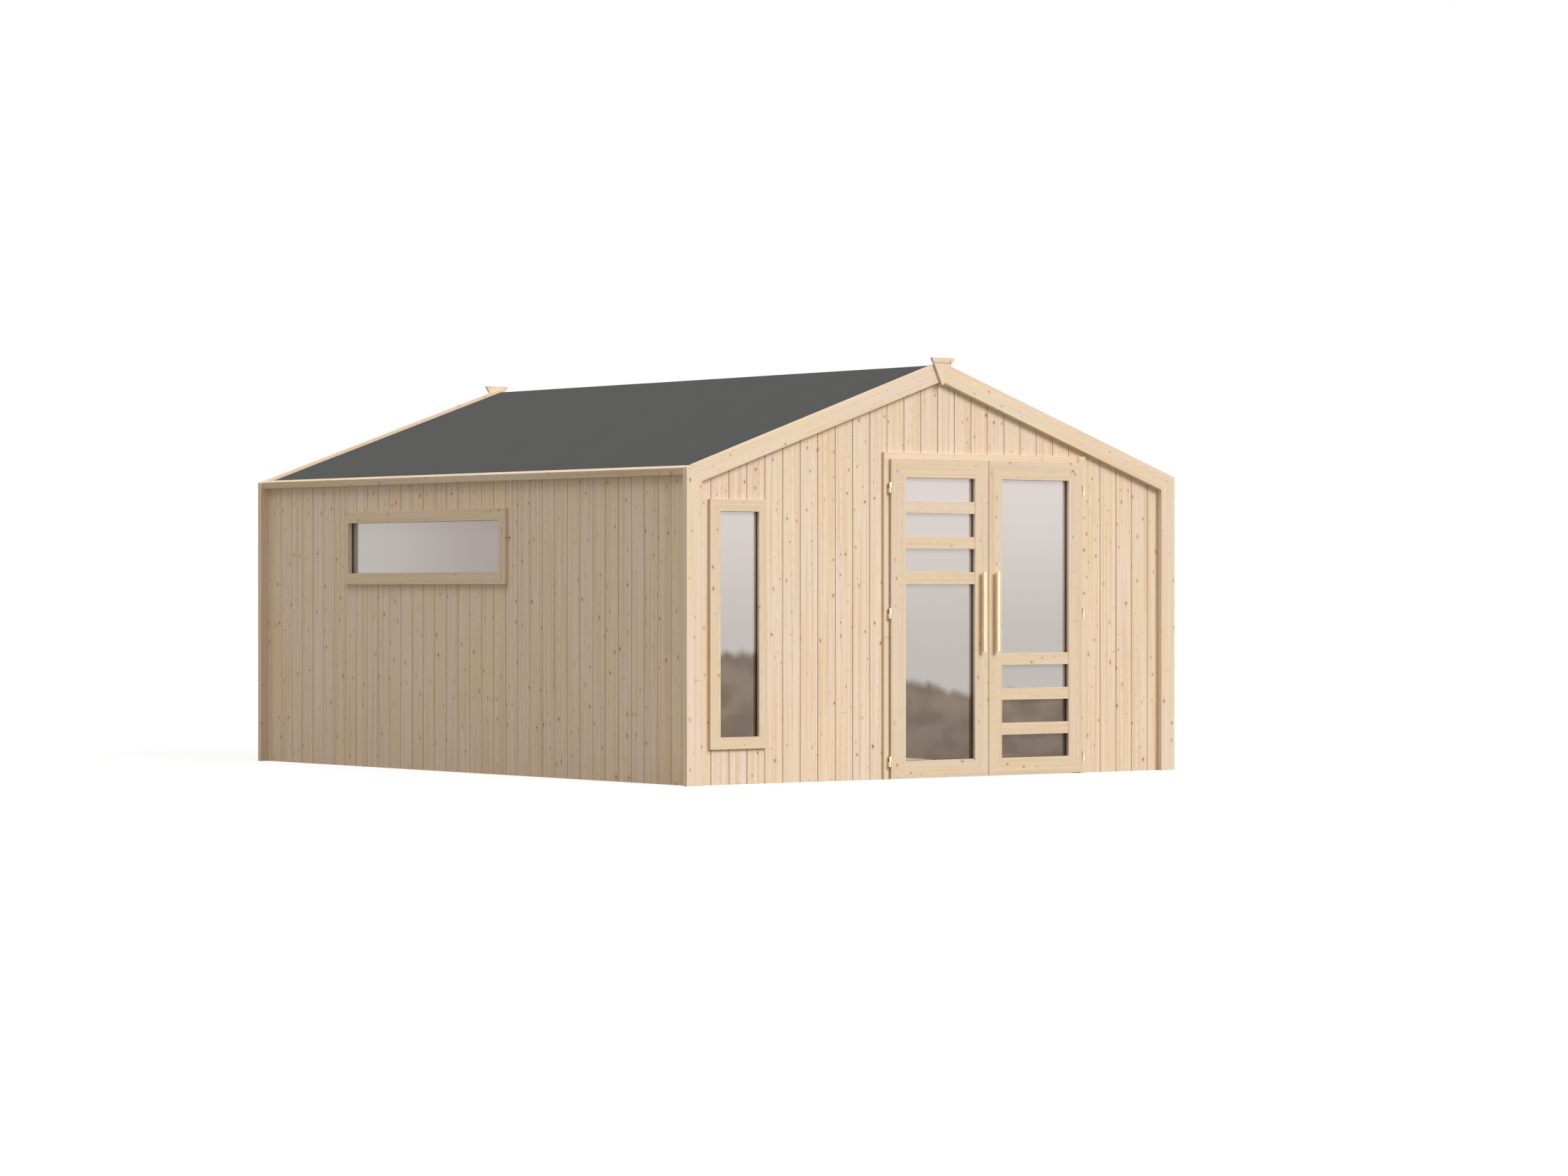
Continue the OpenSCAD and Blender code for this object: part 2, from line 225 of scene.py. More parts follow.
# %% [markdown]
# ## Spruce
# Spruce is pale, with thin darker lines of late wood, faint streaks and small brown knots.
# A picture of wood would repeat, so the finish is worked out from the tree itself. Every
# board carries its own place in the tree in the attribute `wood`: x runs across the board,
# y along it and z into it.
#
# Knots are scattered by Voronoi cells. Most cells hold none, and in the others the distance
# from the cell's point, counted in radii, shapes the knot.

# %% Knots
knot_cell = 0.088
knot_size = (0.0020, 0.0052)
pin_cell = 0.046
pin_size = (0.0011, 0.0018)
pin_share = 0.6
spike_size = (0.002, 0.003)
spike_share = 0.5
knot_length = 1.5
faintest = 0.4


def knots_in(f, x, y, cell, chance, size):
    """Scattered marks: how far a point is from the nearest, in radii, and how strong that
    one is, which is 0 for most. size is the smallest radius and the most chance adds."""
    cells = f.node("ShaderNodeTexVoronoi", {"voronoi_dimensions": "2D"},
                   {"Vector": f.vector(x / cell, y / cell / knot_length, 0.0), "Scale": 1.0})
    dice = f.node("ShaderNodeSeparateColor", {}, {0: cells.out("Color")})
    strength = faintest + (1 - faintest) * dice.out(2)
    present = f.ease(dice.out(0), 1 - chance, 1.01 - chance) * strength
    radius = (size[0] + size[1] * dice.out(1) * dice.out(1)) / cell
    return cells.out("Distance") / radius, present


def marks_in(f, x, y, z, knots):
    """Round knots with their dark core and halo, pin knots, and long slanting spike knots."""
    ragged = f.noise(f.vector(x * 90, y * 60, z * 90), 1.0, 2.0) - 0.5
    away, present = knots_in(f, x + ragged * 0.005, y + ragged * 0.006, knot_cell, knots,
                             knot_size)
    pin_away, pin_present = knots_in(f, x + 7.3, y + ragged * 0.004, pin_cell,
                                     knots * pin_share, pin_size)
    spike_away, spike_present = knots_in(f, x * 0.22 + y * 0.05, y * 2.2 + ragged * 0.006,
                                         knot_cell, knots * spike_share, spike_size)
    return {"knot": f.ease(away, 1.25, 0.6) * present,
            "core": f.ease(away, 0.75, 0.2) * present,
            "halo": f.ease(away, 3.2, 1.0) * present,
            "bend": present / (1 + away * away * 0.3),
            "pin": f.ease(pin_away, 1.4, 0.6) * pin_present,
            "spike": f.ease(spike_away, 1.5, 0.3) * spike_present}


# %% [markdown]
# The rings are circles round a heart that lies behind the board and sways along it, and they
# step round each knot. A sine of the distance from the heart gives one dark line a ring.

# %% Rings
ring_width = 0.0042
heart_depth = 0.055
heart_sway = 0.16
late_sharpness = 2.5


def late_wood(f, x, y, z, bend):
    """The dark line in each ring: 1 at its middle and 0 in the pale early wood."""
    sway = f.noise(f.vector(x * 1.5, y * 0.55, z), 1.0, 1.0) - 0.5
    ripple = f.noise(f.vector(x * 14, y * 2.2, z * 14), 1.0, 2.0) - 0.5
    heart = z + heart_depth + sway * heart_sway
    from_heart = f.node("ShaderNodeVectorMath", {"operation": "LENGTH"},
                        {0: f.vector(x, heart, 0.0)}, output="Value")
    turn = (from_heart + ripple * 0.004 + bend * 0.005) * (2 * math.pi / ring_width)
    wave = turn.maths("SINE", turn)
    return (wave * 0.5 + 0.5) ** late_sharpness


# %% [markdown]
# The finish lays these over each other: a body between pale and warm, streaks and threads
# along the board, the late wood, the knots, and a painted brown shade in the grooves of a joint.

# %% Spruce finish
# Painted shade: the brown colour laid on the faces inside a joint's groove, where shade falls.
painted_groove_shade_color = paint(150, 108, 72)
painted_groove_shade_share = 0.6
core_shade = 0.55


def darker(color, share):
    return tuple(c * share for c in color[:3]) + (1,)


def spruce(name, pale, warm, late_color, knot_color, streaks, knots, contrast, own_place=True):
    f = Finish(name, pale)
    if own_place:
        place = f.node("ShaderNodeAttribute", {"attribute_name": "wood"}, output="Vector")
        tone = f.node("ShaderNodeAttribute", {"attribute_name": "tone"}, output="Fac")
        # groove is 1 inside a joint's groove, where the painted shade goes.
        groove = f.node("ShaderNodeAttribute", {"attribute_name": "groove"}, output="Fac")
    else:
        place = f.node("ShaderNodeTexCoord", output="Object")
        tone, groove = 0.5, 0.0
    parts = f.node("ShaderNodeSeparateXYZ", {}, {0: place})
    x, y, z = (parts.out(i) for i in range(3))
    marks = marks_in(f, x, y, z, knots)
    late = late_wood(f, x, y, z, marks["bend"])

    fibre = f.noise(f.vector(x * 700, y * 9, z * 700), 1.0, 2.0)
    streak = f.noise(f.vector(x * 60, y * 0.6, z * 60), 1.0, 3.0, 0.65)
    thread = f.noise(f.vector(x * 230, y * 1.6, z * 230), 1.0, 2.0, 0.6)
    cloud = f.noise(f.vector(x * 7, y * 1.3, z * 7), 1.0, 2.0)
    band = f.noise(f.vector(x * 34, y * 0.8, z * 34), 1.0, 2.0)

    body = f.mix(f.ease(cloud * 0.5 + band * 0.7 + tone * 0.14, 0.42, 0.9), pale, warm)
    body = f.mix(f.ease(streak, 0.4, 0.74) * streaks, body, late_color)
    body = f.mix(f.ease(thread, 0.45, 0.8) * streaks * 0.55, body, late_color)
    body = f.mix(late * contrast + (fibre - 0.5) * contrast * 0.6, body, late_color)
    body = f.mix(marks["halo"] * 0.22 + marks["spike"] * 0.4, body, knot_color)
    body = f.mix(marks["knot"] * 0.9 + marks["pin"] * 0.75, body, knot_color)
    body = f.mix(marks["core"] * 0.7, body, darker(knot_color, core_shade))
    # Painted shade: the groove's faces turn brown, standing in for the joint's shade.
    body = f.mix(groove * painted_groove_shade_share, body, painted_groove_shade_color)

    height = fibre * 0.5 - late * 0.35 + marks["knot"] * 0.4
    bump = f.node("ShaderNodeBump", {}, {"Height": height, "Strength": 0.25, "Distance": 0.001},
                  output="Normal")
    rough = 0.62 + (fibre - 0.5) * 0.16 - marks["knot"] * 0.15
    return f.surface(f.node("ShaderNodeBsdfPrincipled", {}, {
        "Base Color": body, "Roughness": rough, "Normal": bump, "Specular IOR Level": 0.3}))


# %% [markdown]
# The same finish serves five uses. Trim is planed smooth, the joinery of windows and doors
# is a little darker, wall boards have the strongest streaks and knots, and the framing is
# sawn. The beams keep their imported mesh, so their finish reads the plain object's place.

# %% The shed's woods
planed_spruce = spruce("planed_spruce", paint(233, 214, 198), paint(233, 212, 181),
                       paint(212, 172, 127), paint(176, 98, 32),
                       streaks=0.4, knots=0.72, contrast=0.22)
joinery_spruce = spruce("joinery_spruce", paint(226, 207, 190), paint(226, 205, 171),
                        paint(206, 166, 121), paint(176, 98, 32),
                        streaks=0.42, knots=0.6, contrast=0.22)
board_spruce = spruce("board_spruce", paint(236, 217, 203), paint(234, 212, 180),
                      paint(206, 163, 115), paint(166, 84, 16),
                      streaks=0.52, knots=0.74, contrast=0.22)
sawn_colors = (paint(226, 202, 172), paint(218, 190, 150), paint(190, 148, 102),
               paint(150, 100, 58))
sawn_spruce = spruce("sawn_spruce", *sawn_colors, streaks=0.6, knots=0.3, contrast=0.34)
beam_spruce = spruce("beam_spruce", *sawn_colors, streaks=0.6, knots=0.3, contrast=0.34,
                     own_place=False)
print("spruce finishes made")

# %% [markdown]
# ## Felt, brass, seal and glass
# Roofing felt is bitumen under crushed slate, so it is dark, dry and grainy. Fine noise makes
# the grit, in colour and in bump, and a broad one keeps the sheet from looking painted.


# %% Felt finish
def roofing_felt():
    f = Finish("roofing_felt", paint(92, 92, 92))
    place = f.node("ShaderNodeTexCoord", output="Object")
    grit = f.noise(place, 420.0, 2.0, 0.7)
    patch = f.noise(place, 2.2, 3.0)
    tint = f.mix(f.ease(grit, 0.35, 0.7), paint(62, 62, 62), paint(78, 78, 79))
    tint = f.mix(f.ease(patch, 0.35, 0.7) * 0.3, tint, paint(66, 66, 66))
    bump = f.node("ShaderNodeBump", {}, {"Height": grit, "Strength": 0.5, "Distance": 0.0015},
                  output="Normal")
    return f.surface(f.node("ShaderNodeBsdfPrincipled", {}, {
        "Base Color": tint, "Roughness": 0.9 - grit * 0.1, "Normal": bump,
        "Specular IOR Level": 0.2}))


felt_finish = roofing_felt()

# %% [markdown]
# Handles and hinges are pale brass, lightly brushed. Anisotropy stretches the highlight as
# the brushing does, so the fine lines need hardly any bump.

# %% Brass finish
brass_roughness = 0.3


def polished_brass():
    f = Finish("polished_brass", paint(236, 206, 140))
    place = f.node("ShaderNodeTexCoord", output="Object")
    parts = f.node("ShaderNodeSeparateXYZ", {}, {0: place})
    lines = f.noise(f.vector(parts.out(0) * 60, parts.out(1) * 60, parts.out(2) * 900), 1.0, 2.0)
    smear = f.noise(place, 30.0, 2.0)
    tint = f.mix(f.ease(smear, 0.4, 0.7) * 0.3, paint(242, 227, 194), paint(230, 207, 158))
    bump = f.node("ShaderNodeBump", {}, {"Height": lines, "Strength": 0.02, "Distance": 0.0001},
                  output="Normal")
    return f.surface(f.node("ShaderNodeBsdfPrincipled", {}, {
        "Base Color": tint, "Metallic": 1.0, "Roughness": brass_roughness + smear * 0.05,
        "Normal": bump, "Anisotropic": 0.9, "Anisotropic Rotation": 0.25}))


brass_finish = polished_brass()


# %% [markdown]
# Each pane is held by a dark brown seal. A little dust on it breaks the flat colour.

# %% Seal finish
def glazing_seal():
    f = Finish("glazing_seal", paint(62, 44, 32))
    place = f.node("ShaderNodeTexCoord", output="Object")
    dust = f.noise(place, 90.0, 3.0)
    tint = f.mix(f.ease(dust, 0.4, 0.75) * 0.6, paint(58, 40, 29), paint(84, 62, 46))
    return f.surface(f.node("ShaderNodeBsdfPrincipled", {}, {
        "Base Color": tint, "Roughness": 0.5 + dust * 0.3}))


seal_finish = glazing_seal()

# %% [markdown]
# The panes are glass, half mirrored, carrying a painted reflection. High up it is a pale painted
# sky, lighter further up; below a ragged painted horizon it is darker brown painted ground, and
# towards the foot it clears, so that the boards inside and the ground show through. The painted
# horizon stands higher up at the left end of the front and lower down at the right leaf.

# %% Glass finish
# Painted reflection: where the painted horizon lies, how it bends along the front, and how much
# of the pane it covers.
painted_horizon_height = 0.612
painted_horizon_rise = 0.178
painted_horizon_fall = 0.08
painted_horizon_blur = 0.035
painted_reflection_fade_height = 0.5
least_painted_reflection = 0.34
foot_painted_reflection = 0.12
sky_painted_reflection = 0.4
high_painted_reflection = 0.1
pane_mirror_share = 0.7


def window_glass():
    f = Finish("window_glass", paint(206, 202, 200))
    place = f.node("ShaderNodeTexCoord", output="Object")
    parts = f.node("ShaderNodeSeparateXYZ", {}, {0: place})
    x, height = parts.out(0), parts.out(2)
    ragged = f.noise(f.vector(x * 7, parts.out(1) * 7, height * 2), 1.0, 2.0) - 0.5
    soft = f.noise(f.vector(x * 4, parts.out(1) * 4, height * 7), 1.0, 3.0)
    rise = f.ease(x, -0.8, -1.4) * painted_horizon_rise
    fall = f.ease(x, -0.35, 0.3) * painted_horizon_fall
    # The painted horizon's line, made ragged by noise.
    level = height + ragged * 0.14 - rise + fall
    # cover is 1 above the painted horizon, where the painted sky reflection lies.
    cover = f.ease(level, painted_horizon_height - painted_horizon_blur, painted_horizon_height + painted_horizon_blur)
    foot = f.ease(height, 0.12, painted_reflection_fade_height)
    high = f.ease(height, 0.8, 2.0)
    # How much of the painted reflection covers the pane; where it thins, the inside shows.
    painted_reflection_cover = least_painted_reflection + foot_painted_reflection * foot + sky_painted_reflection * cover + high_painted_reflection * high
    # Painted reflection: a pale painted sky, lighter higher up.
    pale = f.mix(f.ease(height, 0.5, 1.9), paint(196, 191, 187), paint(224, 216, 212))
    # Painted reflection: the side pane, which stands in shade, gets its own painted tint, lighter
    # towards its far end.
    side = f.ease(x, -1.8, -1.88)
    far = f.ease(parts.out(1), -0.45, 1.4)
    bright = f.mix(far, paint(184, 174, 168), paint(207, 200, 196))
    pale = f.mix(side, pale, bright)
    # Painted reflection: mottled darker brown ground, below the painted horizon.
    painted_ground_reflection = f.mix(f.ease(soft, 0.35, 0.68), paint(150, 133, 119), paint(171, 154, 139))
    tint = f.mix(cover, painted_ground_reflection, pale)
    return f.surface(f.node("ShaderNodeBsdfPrincipled", {}, {
        "Base Color": tint, "Metallic": pane_mirror_share, "Roughness": 0.12 + soft * 0.05,
        "Alpha": painted_reflection_cover, "IOR": 1.5}))


glass_finish = window_glass()
print("finishes made:", len(bpy.data.materials))

# %% [markdown]
# ## Boards in one mesh
# A wall is dozens of like boards, so they are gathered into one mesh. Each board is an
# outline pushed along a direction. Its arrises are eased, because a planed edge is never
# quite sharp and catches a thin line of light.


# %% Grain
shift_across = 0.035
shift_along = 80
shift_deep = 0.03


def grain(along, across, centre):
    """Where a board lies in its tree, and how dark it is."""
    along, across, centre = Vector(along), Vector(across), Vector(centre)
    depth = across.cross(along)
    shift = Vector((random.uniform(-shift_across, shift_across), random.uniform(0, shift_along),
                    random.uniform(-shift_deep, shift_deep)))
    tone = random.random()

    def wood(point):
        q = point - centre
        return Vector((q.dot(across), q.dot(along), q.dot(depth))) + shift

    return wood, tone


# %% Outlines
def ease_corners(points, radius):
    """Rounds each corner of an outline with three points."""
    eased = []
    count = len(points)
    for i in range(count):
        before, here, after = (Vector(points[(i + k) % count]) for k in (-1, 0, 1))
        reach = min(radius, (before - here).length / 2.1, (after - here).length / 2.1)
        start = here + (before - here).normalized() * reach
        end = here + (after - here).normalized() * reach
        eased += [tuple(start), tuple((start + 2 * here + end) / 4), tuple(end)]
    return eased


def rectangle(x0, y0, x1, y1):
    return [(x0, y0), (x1, y0), (x1, y1), (x0, y1)]


# %% [markdown]
# `Timber` pushes outlines into boards and gathers them. An end may be a number, or a
# function of the point for a slanting cut. Eased ends add one more ring of points.

# %% The board builder
def value_at(limit, u, v):
    return limit(u, v) if callable(limit) else limit


class Timber:
    """Boards gathered into one mesh."""

    def __init__(self):
        self.points = []
        self.faces = []
        self.wood = []
        self.tones = []
        self.grooves = []

    def add(self, section, place, low, high, wood_tone, edge=0.0, groove=None):
        """Pushes a section of (u, v) points from low to high; place(u, v, w) is the point."""
        wood, tone = wood_tone
        centre = Vector([sum(c) / len(section) for c in zip(*section)])
        count = len(section)
        rings = [(0.0, edge), (edge, 0.0), (-edge, 0.0), (0.0, edge)] if edge else [(0, 0)] * 2
        half = len(rings) // 2
        first = len(self.points)
        for k, (step, inset) in enumerate(rings):
            for u, v in section:
                w = value_at(low if k < half else high, u, v) + step
                inward = (centre - Vector((u, v))).normalized() * inset
                point = Vector(place(u + inward.x, v + inward.y, w))
                self.points.append(point)
                self.wood.append(wood(point))
                self.tones.append(tone)
                # groove(v) gives the share of painted groove shade at each point, kept as the
                # attribute groove.
                self.grooves.append(groove(v) if groove else 0.0)
        for k in range(len(rings) - 1):
            for i in range(count):
                j = (i + 1) % count
                a, b = first + k * count, first + (k + 1) * count
                self.faces.append((a + i, a + j, b + j, b + i))
        last = first + (len(rings) - 1) * count
        self.faces.append(tuple(first + i for i in range(count)))
        self.faces.append(tuple(last + i for i in reversed(range(count))))

    def piece(self, name, material, body, replaces=(), smooth=None):
        mesh = bpy.data.meshes.new(name)
        mesh.from_pydata([tuple(p) for p in self.points], [], self.faces)
        wood = mesh.attributes.new("wood", "FLOAT_VECTOR", "POINT")
        wood.data.foreach_set("vector", [c for w in self.wood for c in w])
        tone = mesh.attributes.new("tone", "FLOAT", "POINT")
        tone.data.foreach_set("value", self.tones)
        groove = mesh.attributes.new("groove", "FLOAT", "POINT")
        groove.data.foreach_set("value", self.grooves)
        made = bmesh.new()
        made.from_mesh(mesh)
        bmesh.ops.recalc_face_normals(made, faces=made.faces)
        made.to_mesh(mesh)
        made.free()
        if smooth is not None:
            mesh.shade_smooth()
            mesh.set_sharp_from_angle(angle=math.radians(smooth))
        thing = bpy.data.objects.new(name, mesh)
        bpy.context.scene.collection.objects.link(thing)
        mesh.materials.append(material)
        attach(thing, body)
        if replaces:
            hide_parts(*replaces)
        print(f"{name}: {len(mesh.polygons)} faces")
        return thing


# %% Straight boards
sawn_arris = 0.0015


def plank(timber, low, high, edge=sawn_arris):
    """A straight board that fills a box, with its grain along the longest side."""
    low, high = Vector(low), Vector(high)
    size = high - low
    axis = max(range(3), key=lambda i: size[i])
    u_axis, v_axis = [i for i in range(3) if i != axis]
    units = [Vector((1, 0, 0)), Vector((0, 1, 0)), Vector((0, 0, 1))]

    def place(u, v, w):
        point = Vector()
        point[u_axis], point[v_axis], point[axis] = u, v, w
        return point

    section = ease_corners(rectangle(low[u_axis], low[v_axis], high[u_axis], high[v_axis]), edge)
    wide = u_axis if size[u_axis] > size[v_axis] else v_axis
    timber.add(section, place, low[axis], high[axis],
               grain(units[axis], units[wide], (low + high) / 2), edge)


# %% [markdown]
# ## Tongued cladding
# The walls are clad with upright tongued and grooved boards. Neighbours meet in a shallow
# V, and a tongue in the middle of the thickness closes the joint. Where a window or the
# doorway crosses a board, the board is cut into strips that share one grain.

# %% Cladding
cover = 0.1377
vee = 0.0022
tongue = 0.006
tongue_edge = 0.001
tongue_play = 0.0004
joint = 0.0011
groove_reach = 0.7
wall_thick = levels("left_wall", 0)[1] - levels("left_wall", 0)[0]


def tongued(left, right, true_left, true_right, thick):
    """The section of one board: u runs across the wall and v into it."""
    third = thick / 3
    section = []
    if true_left:
        bottom = left + tongue + tongue_edge
        section += [(left + joint + vee, 0), (left + joint, vee), (left + joint, third),
                    (bottom, third), (bottom, 2 * third), (left + joint, 2 * third),
                    (left + joint, thick)]
    else:
        section += [(left, 0), (left, thick)]
    if true_right:
        near, far = third + tongue_play, 2 * third - tongue_play
        section += [(right - joint, thick), (right - joint, far), (right + tongue, far),
                    (right + tongue, near), (right - joint, near), (right - joint, vee),
                    (right - joint - vee, 0)]
    else:
        section += [(right, thick), (right, 0)]
    return section


def clad(name, nodes, place, across, start, stop, groove, top, holes=(), thick=wall_thick,
         foot=0.0, along=(0, 0, 1), material=board_spruce):
    """Boards side by side from start to stop. top(u) is a board's upper end, and a hole is
    (left, right, low, high)."""
    timber = Timber()

    # Points inside a groove, below the face and short of the back, get the painted groove shade.
    def shade(depth):
        return 1.0 if 0 < depth < thick * groove_reach else 0.0

    first = groove + math.ceil((start - groove) / cover + 1e-6) * cover
    lines = [first + i * cover for i in range(int((stop - first) / cover) + 1)]
    lines = [start] + [u for u in lines if start + vee < u < stop - vee] + [stop]
    for left, right in zip(lines, lines[1:]):
        middle = (left + right) / 2
        wood_tone = grain(along, across, place(middle, 0, 0))
        cuts = {edge for hole in holes for edge in hole[:2] if left < edge < right}
        cuts = [left] + sorted(cuts) + [right]
        for a, b in zip(cuts, cuts[1:]):
            section = tongued(a, b, a == left, b == right and b < stop, thick)
            ends = [foot]
            for hole in sorted(holes, key=lambda h: h[2]):
                if hole[0] < (a + b) / 2 < hole[1]:
                    ends += [hole[2], hole[3]]
            ends.append(None)
            for low, high in zip(ends[::2], ends[1::2]):
                if low == high:
                    continue
                limit = (lambda u, v: top(u)) if high is None else high
                timber.add(section, place, low, limit, wood_tone, groove=shade)
    timber.piece(name, material, "shed", nodes)


# %% [markdown]
# The walls run up to the underside of the roof boards, which the gables follow at a slope.

# %% The roof's planes
def roof_line(x, depth):
    """Height of the roof's plane that lies depth below the top edge of the barge boards."""
    return eaves + (half_width - abs(x)) * math.tan(pitch) - depth / math.cos(pitch)


def layer(node):
    """Where a roof layer starts up the slope, and the depths of its top and underside."""
    low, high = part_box(node)
    top = (apex - high.z) * math.cos(pitch)
    start = (low.x + half_width - top * math.sin(pitch)) / math.cos(pitch)
    under = (eaves + start * math.sin(pitch) - low.z) / math.cos(pitch)
    return start, top, under


deck_start, deck_top, deck_under = layer("left_roof_boards")
front_face = levels("front_wall_left", 1)[0]
side_in = levels("right_wall", 0)[0]
side_out = levels("right_wall", 0)[1]
rear_face = levels("rear_wall", 1)[1]
wall_top = levels("right_wall", 2)[1]


def gable_top(u):
    return roof_line(u, deck_under)


def side_top(u):
    return wall_top


# %% [markdown]
# The front wall has two holes, for the window's lining and for the doorway.

# %% Front and rear walls
front_groove = -1.788
window_x = levels("front_wall_left", 0)
window_z = levels("front_wall_left", 2)
door_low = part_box("door_jamb_left")[0].x
door_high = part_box("door_jamb_right")[1].x
door_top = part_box("door_head")[1].z
front_holes = [(window_x[1], window_x[2], window_z[1], window_z[2]),
               (door_low, door_high, 0.0, door_top)]
clad("front_boards", ["front_wall_left", "front_wall_right", "front_wall_gable"],
     lambda u, v, w: (u, front_face + v, w), (1, 0, 0), -side_in, side_in, front_groove,
     gable_top, front_holes)
clad("rear_boards", ["rear_wall"], lambda u, v, w: (u, rear_face - v, w), (1, 0, 0),
     -side_in, side_in, front_groove, gable_top)

# %% [markdown]
# The left wall has one hole, for the lining of its long low window. The right wall has none.

# %% Side walls
side_low, side_high = levels("right_wall", 1)
side_groove = 2.161
lining_y = levels("left_wall", 1)
lining_z = levels("left_wall", 2)
clad("left_boards", ["left_wall"], lambda u, v, w: (-side_out + v, u, w), (0, 1, 0),
     side_low, side_high, side_groove, side_top,
     [(lining_y[1], lining_y[2], lining_z[1], lining_z[2])])
clad("right_boards", ["right_wall"], lambda u, v, w: (side_out - v, u, w), (0, 1, 0),
     side_low, side_high, side_groove, side_top)

# %% [markdown]
# ## Frames on the gables
# Posts and barge boards are planed boards, mitred where they meet at the eaves and cut
# plumb at the ridge. Each keeps its section along its whole length, so only the long edges
# are eased and the mitre stays tight.

# %% Posts, barge boards and battens
arris = 0.0016
trim_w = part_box("front_left_post")[1].x - post_low.x
slope = Vector((math.cos(pitch), 0, math.sin(pitch)))
slope_length = half_width / math.cos(pitch)
mitre = (1 - math.sin(pitch)) / math.cos(pitch)


def slope_point(side, u, depth):
    """A point on the slope: u up from the eaves corner, depth below the barge boards' top."""
    return (side * (half_width - u * math.cos(pitch) - depth * math.sin(pitch)),
            eaves + u * math.sin(pitch) - depth * math.cos(pitch))


def gable_trim(end, side):
    turn = -1 if side == "left" else 1
    post, barge = f"{end}_{side}_post", f"{end}_{side}_barge"
    low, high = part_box(post)
    section = ease_corners(rectangle(0, low.y, trim_w, high.y), arris)
    upright = Timber()
    upright.add(section, lambda u, v, w: (turn * (half_width - u), v, w), 0.0,
                lambda u, v: eaves + u * math.tan(pitch) - u / math.cos(pitch),
                grain((0, 0, 1), (1, 0, 0), (turn * half_width, low.y, 1)))
    upright.piece(post + "_board", planed_spruce, "shed", [post])

    def on_slope(u, v, w):
        x, z = slope_point(turn, w, u)
        return (x, v, z)

    up = Vector((-turn * slope.x, 0, slope.z))
    over = Vector((turn * slope.z, 0, slope.x))
    sloping = Timber()
    sloping.add(section, on_slope, lambda u, v: u * mitre,
                lambda u, v: slope_length - u * math.tan(pitch),
                grain(up, over, on_slope(trim_w / 2, low.y, 1)))
    sloping.piece(barge + "_board", planed_spruce, "shed", [barge])


for end in ("front", "rear"):
    for side in ("left", "right"):
        gable_trim(end, side)


def batten(side):
    node = f"{side}_eaves_batten"
    low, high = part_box(node)
    timber = Timber()
    timber.add(ease_corners(outline(node, 1), arris), lambda u, v, w: (u, w, v), low.y, high.y,
               grain((0, 1, 0), (0, 0, 1), (low + high) / 2), arris)
    timber.piece(node + "_board", board_spruce, "shed", [node])


batten("left")
batten("right")

# %% [markdown]
# ## Ridge ornaments
# A tapering shield hides the joint of the barge boards, under a wider cap that sheds rain.


# %% Ornaments
shield_arris = 0.0012
tip_reach = 0.02


def ornament(end):
    node = f"{end}_finial"
    y_low, y_middle, y_high = levels(node, 1)
    heights = levels(node, 2)
    tip, foot, top = heights[0], heights[-2], heights[-1]

    def widest(z):
        return max(p[0] for p in corners(node) if abs(p[2] - z) < touching)

    cap_foot = widest(foot)
    shield = min(p[0] for p in corners(node)
                 if abs(p[2] - foot) < touching and p[0] > tip_reach)
    back, thin, thick = (y_high, y_middle, y_low) if end == "front" else (y_low, y_middle, y_high)
    timber = Timber()
    shapes = (([(-shield, foot), (-widest(tip), tip), (widest(tip), tip), (shield, foot)], thin),
              ([(-widest(top), top), (-cap_foot, foot), (cap_foot, foot), (widest(top), top)],
               thick))
    for shape, face in shapes:
        centre = (0, (back + face) / 2, foot)
        timber.add(ease_corners(shape, shield_arris), lambda u, v, w: (u, w, v),
                   min(back, face), max(back, face), grain((0, 0, 1), (1, 0, 0), centre),
                   shield_arris)
    timber.piece(node + "_shield", planed_spruce, "shed", [node])


ornament("front")
ornament("rear")

# %% [markdown]
# ## Roof
# The roof boards run from the eaves to the ridge over the purlins. They are the same
# tongued boards, grooved side down, and show from inside.

# %% Roof boards
roof_low, roof_high = levels("left_roof_boards", 1)


def deck(side, name):
    def place(u, v, w):
        x, z = slope_point(side, w, deck_under - v)
        return (x, u, z)

    def ridge_end(u):
        return slope_length - deck_under * math.tan(pitch)

    up = Vector((-side * slope.x, 0, slope.z))
    clad(name + "_planks", [name], place, (0, 1, 0), roof_low, roof_high, roof_low, ridge_end,
         thick=deck_under - deck_top, foot=deck_start, along=up, material=sawn_spruce)


deck(-1, "left_roof_boards")
deck(1, "right_roof_boards")

# %% [markdown]
# The felt is one welded sheet, bent over the ridge. It lies a little unevenly on the boards,
# which a grid of points with a shallow wave gives. The edges are closed, so it has thickness.

# %% Roofing felt
felt_start, felt_top, felt_under = layer("roof_felt")
felt_steps = 28
felt_runs = 60
felt_wave = 0.0004


